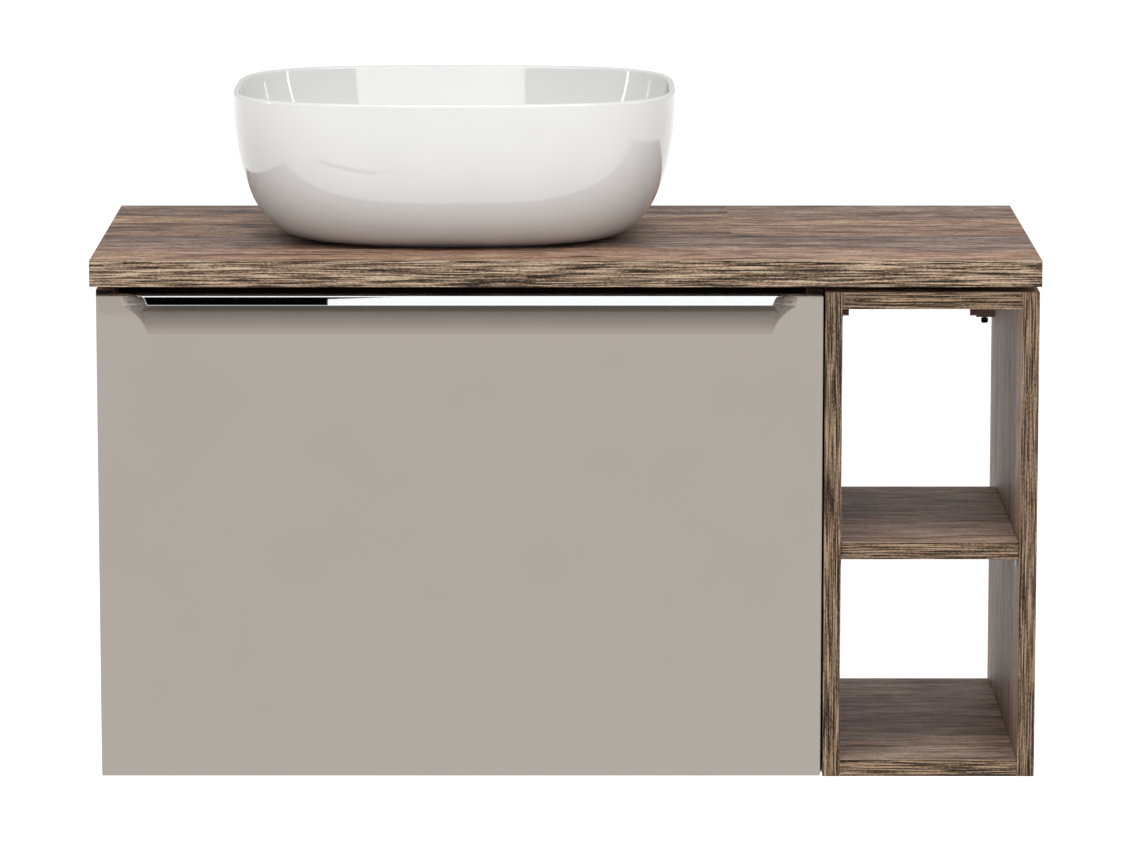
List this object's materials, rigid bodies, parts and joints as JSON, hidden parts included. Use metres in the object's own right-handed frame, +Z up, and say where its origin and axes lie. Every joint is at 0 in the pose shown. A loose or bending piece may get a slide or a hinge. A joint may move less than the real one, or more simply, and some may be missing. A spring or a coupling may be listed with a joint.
{
  "type": "vessel sink on vanity",
  "caption": "Wall-hung vanity with a gloss drawer, an open shelf unit, a wood-decor worktop and a rounded white vessel basin.",
  "frame": {"origin": "middle of the wall rail's back face, in the wall plane, on the worktop's centre line", "axes": "+X along the wall to the right as seen from the front, +Y into the wall, +Z up"},
  "size_m": [1, 0.46, 0.7135],
  "materials": {
    "worktop_decor": "matt wood-decor laminate with a soft grain along the length",
    "edge_decor": "matt wood-decor edging with a streaky grain",
    "carcass_decor": "matt wood-decor faced board",
    "gloss_taupe": "high-gloss taupe foil",
    "chrome": "polished chrome",
    "ceramic": "white glaze",
    "sealant": "light silicone",
    "black_rubber": "matt black rubber",
    "zinc_steel": "zinc-plated steel",
    "brown_plastic": "brown plastic",
    "black_steel": "black oxide steel",
    "drawer_grey": "grey faced board and grey plastic",
    "white_plastic": "white moulded plastic",
    "orange_plastic": "orange moulded plastic"
  },
  "bodies": {
    "cabinet": {"worktop": "worktop_decor", "worktop_front_edging": "edge_decor", "worktop_spacer_left": "carcass_decor", "worktop_spacer_middle": "carcass_decor", "worktop_spacer_right": "carcass_decor", "drawer_unit_side_left": "carcass_decor", "drawer_unit_side_right": "carcass_decor", "drawer_unit_bottom": "carcass_decor", "drawer_unit_front_rail": "carcass_decor", "drawer_unit_upper_back_rail": "carcass_decor", "drawer_unit_lower_back_rail": "carcass_decor", "shelf_unit_side_left": "carcass_decor", "shelf_unit_side_right": "carcass_decor", "shelf_unit_top": "carcass_decor", "shelf_unit_bottom": "carcass_decor", "middle_shelf": "carcass_decor", "waste_flange": "chrome", "trap_inlet_nut": "chrome", "trap_body": "chrome", "trap_cup": "chrome", "trap_outlet_nut": "chrome", "trap_outlet_pipe": "chrome", "wall_rosette": "chrome", "basin": "ceramic", "basin_seal": "sealant", "waste_top_gasket": "black_rubber", "waste_washer": "black_rubber", "waste_locknut": "zinc_steel", "wall_rail": "zinc_steel", "runner_fixed_left": "zinc_steel", "runner_fixed_right": "zinc_steel", "shelf_support_front_left": "zinc_steel", "shelf_support_front_right": "zinc_steel", "shelf_support_back_left": "zinc_steel", "shelf_support_back_right": "zinc_steel", "hanger_drawer_left": "brown_plastic", "hanger_drawer_right": "brown_plastic", "hanger_shelf_left": "brown_plastic", "hanger_shelf_right": "brown_plastic"},
    "drawer": {"drawer_front": "gloss_taupe", "drawer_handle_strip": "chrome", "drawer_side_left": "drawer_grey", "drawer_side_right": "drawer_grey", "drawer_bottom": "drawer_grey", "drawer_back_left": "drawer_grey", "drawer_back_right": "drawer_grey", "drawer_trap_guard": "white_plastic", "runner_drawer_left": "zinc_steel", "runner_drawer_right": "zinc_steel", "locking_clip_left": "drawer_grey", "locking_clip_right": "drawer_grey"},
    "runner_middle_left": {"runner_middle_left": "zinc_steel"},
    "runner_middle_right": {"runner_middle_right": "zinc_steel"},
    "waste_cap": {"waste_cap": "chrome"},
    "clip_lever_left": {"clip_lever_left": "orange_plastic"},
    "clip_lever_right": {"clip_lever_right": "orange_plastic"},
    "hanger_screw_drawer_left": {"hanger_drawer_left_screw": "black_steel"},
    "hanger_screw_drawer_right": {"hanger_drawer_right_screw": "black_steel"},
    "hanger_screw_shelf_left": {"hanger_shelf_left_screw": "black_steel"},
    "hanger_screw_shelf_right": {"hanger_shelf_right_screw": "black_steel"}
  },
  "joints": [
    {"name": "drawer_slide", "type": "slide", "parent": "cabinet", "child": "drawer", "axis": [0, -1, 0], "range_m": [0, 0.38]},
    {"name": "runner_left_slide", "type": "slide", "parent": "cabinet", "child": "runner_middle_left", "axis": [0, -1, 0], "range_m": [0, 0.19]},
    {"name": "runner_right_slide", "type": "slide", "parent": "cabinet", "child": "runner_middle_right", "axis": [0, -1, 0], "range_m": [0, 0.19]},
    {"name": "waste_cap_press", "type": "slide", "parent": "cabinet", "child": "waste_cap", "axis": [0, 0, 1], "range_m": [-0.008, 0]},
    {"name": "clip_lever_left_turn", "type": "hinge", "parent": "drawer", "child": "clip_lever_left", "pos_m": [-0.405, -0.4177, -0.422], "axis": [0, 0, 1], "range_deg": [0, 25]},
    {"name": "clip_lever_right_turn", "type": "hinge", "parent": "drawer", "child": "clip_lever_right", "pos_m": [0.1825, -0.4177, -0.422], "axis": [0, 0, 1], "range_deg": [-25, 0]},
    {"name": "hanger_screw_drawer_left_turn", "type": "hinge", "parent": "cabinet", "child": "hanger_screw_drawer_left", "pos_m": [-0.46695, -0.039, -0.023], "axis": [0, 0, 1], "continuous": true},
    {"name": "hanger_screw_drawer_right_turn", "type": "hinge", "parent": "cabinet", "child": "hanger_screw_drawer_right", "pos_m": [0.24445, -0.039, -0.023], "axis": [0, 0, 1], "continuous": true},
    {"name": "hanger_screw_shelf_left_turn", "type": "hinge", "parent": "cabinet", "child": "hanger_screw_shelf_left", "pos_m": [0.30105, -0.039, -0.023], "axis": [0, 0, 1], "continuous": true},
    {"name": "hanger_screw_shelf_right_turn", "type": "hinge", "parent": "cabinet", "child": "hanger_screw_shelf_right", "pos_m": [0.46995, -0.039, -0.023], "axis": [0, 0, 1], "continuous": true}
  ],
  "couplings": [
    {"joint": "runner_left_slide", "follows": "drawer_slide", "ratio": 0.5},
    {"joint": "runner_right_slide", "follows": "drawer_slide", "ratio": 0.5}
  ]
}
